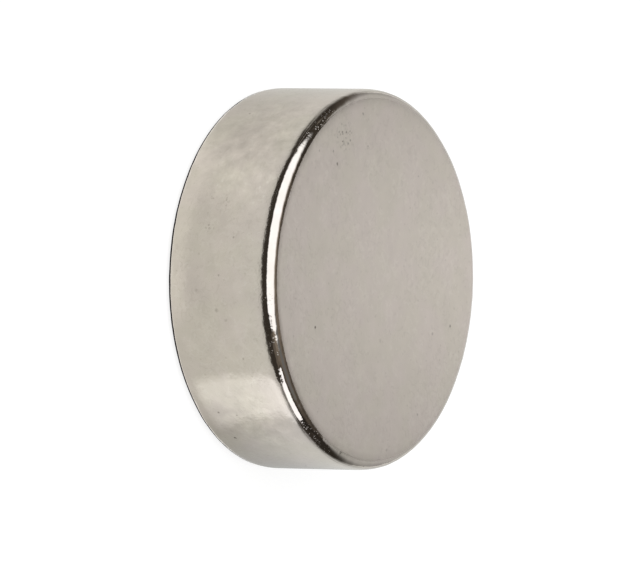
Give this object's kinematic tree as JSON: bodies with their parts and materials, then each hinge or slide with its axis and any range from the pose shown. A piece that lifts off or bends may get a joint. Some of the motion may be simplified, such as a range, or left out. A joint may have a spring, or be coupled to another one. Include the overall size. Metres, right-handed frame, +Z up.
{
  "type": "disc magnet",
  "caption": "Thin round permanent magnet with two flat pole faces, a plain cylindrical rim, rounded edges and a bright nickel finish.",
  "frame": {"origin": "middle of the lower pole face, on the surface that the disc lies on", "axes": "+Z up along the disc's axis, from the lower pole face to the upper one; X and Y are any two directions across the disc"},
  "size_m": [0.015, 0.015, 0.005],
  "materials": {
    "nickel_plate": "nickel plating, satin on the ground pole faces and rim, polished on the tumbled edges, with small pits and nicks"
  },
  "bodies": {
    "root": {"magnet": "nickel_plate"}
  },
  "joints": []
}
